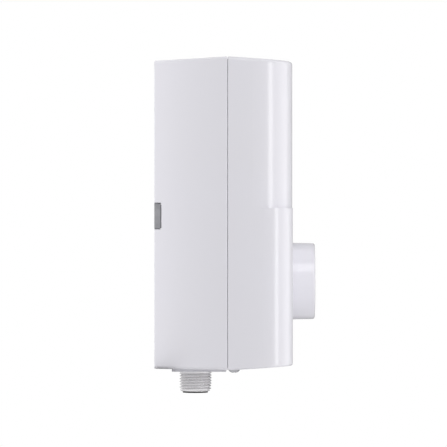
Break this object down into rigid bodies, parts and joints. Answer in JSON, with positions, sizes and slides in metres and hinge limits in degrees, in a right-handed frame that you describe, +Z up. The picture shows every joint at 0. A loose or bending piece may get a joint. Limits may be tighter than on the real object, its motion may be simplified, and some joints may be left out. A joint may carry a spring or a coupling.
{
  "type": "tankless water heater",
  "caption": "Small wall-hung electric water heater: two-part white casing, front control knob, threaded water connections underneath and a steel wall bracket.",
  "frame": {"origin": "centre of the four wall-fixing holes, on the wall plane behind the bracket", "axes": "+Y into the wall, so the front faces -Y; +Z up; +X to the right as seen from the front"},
  "size_m": [0.15, 0.1062, 0.2203],
  "materials": {
    "white_casing": "smooth glossy white moulding",
    "white_knob": "smooth satin-gloss white moulding",
    "pointer_grey": "matt grey inlay",
    "lens_red": "clear red light window",
    "lamp_glass": "small neon lamp",
    "black_rubber": "matt black rubber",
    "zinc_steel": "zinc-plated sheet steel",
    "nickel_brass": "nickel-plated turned brass",
    "bare_brass": "machined brass",
    "copper": "drawn copper, lightly tarnished",
    "element_sheath": "stainless element tube",
    "screw_steel": "bright zinc-plated steel",
    "piston_plastic": "natural acetal",
    "black_plastic": "black phenolic",
    "button_red": "red plastic button",
    "block_white": "white polyamide",
    "wire_brown": "brown insulation",
    "wire_black": "black insulation",
    "wire_blue": "blue insulation",
    "wire_green": "green and yellow insulation",
    "wire_white": "white insulation"
  },
  "bodies": {
    "root": {"bracket_lock_screw": "screw_steel", "cable_clamp": "block_white", "cable_grommet": "black_rubber", "connection_plate": "zinc_steel", "cover_screws": "screw_steel", "cover_seal": "black_rubber", "cutout_screws": "screw_steel", "earth_nut": "bare_brass", "earth_stud": "bare_brass", "earth_wire": "wire_green", "element_link": "bare_brass", "element_nuts": "bare_brass", "element_wire_1": "wire_black", "element_wire_2": "wire_black", "flow_spring": "screw_steel", "flow_switch_body": "bare_brass", "flow_switch_cap": "bare_brass", "flow_wire": "wire_black", "front_cover": "white_casing", "heating_element_1": "element_sheath", "heating_element_2": "element_sheath", "housing_screws": "screw_steel", "indicator_lamp": "lamp_glass", "indicator_lens": "lens_red", "inlet_nipple": "nickel_brass", "inlet_pipe": "copper", "inlet_strainer": "black_rubber", "lamp_wires": "wire_white", "lid_bolts": "screw_steel", "limiter_wire": "wire_brown", "live_wire": "wire_brown", "neutral_wire": "wire_blue", "nipple_gaskets": "black_rubber", "outlet_nipple": "nickel_brass", "outlet_pipe": "copper", "pipe_seals": "black_rubber", "rear_housing": "white_casing", "reed_switch": "black_plastic", "screw_inserts": "bare_brass", "selector_contacts": "bare_brass", "selector_switch_body": "black_plastic", "selector_terminal_base": "black_plastic", "shaft_seal": "black_rubber", "switch_screws": "screw_steel", "switch_support": "zinc_steel", "tank_lid": "bare_brass", "tank_seal": "black_rubber", "tank_shell": "copper", "tank_straps": "zinc_steel", "terminal_block": "block_white", "terminal_screws": "screw_steel", "thermal_cutout": "black_plastic", "wall_bracket": "zinc_steel"},
    "knob": {"control_knob": "white_knob", "knob_pointer": "pointer_grey", "knob_clip": "screw_steel", "selector_shaft": "screw_steel", "selector_rotor": "piston_plastic"},
    "piston": {"flow_piston": "piston_plastic"},
    "reset_button": {"cutout_reset_button": "button_red"}
  },
  "joints": [
    {"name": "knob_turn", "type": "hinge", "parent": "root", "child": "knob", "pos_m": [0, -0.0906, -0.0445], "axis": [0, 1, 0], "range_deg": [0, 180]},
    {"name": "flow_piston_slide", "type": "slide", "parent": "root", "child": "piston", "axis": [0, 0, 1], "range_m": [0, 0.004], "stiffness_N_per_m": 60, "springref_m": -0.002, "deforming": ["flow_spring"]},
    {"name": "reset_press", "type": "slide", "parent": "root", "child": "reset_button", "axis": [0, 1, 0], "range_m": [0, 0.0015], "stiffness_N_per_m": 300, "springref_m": -0.0005}
  ]
}
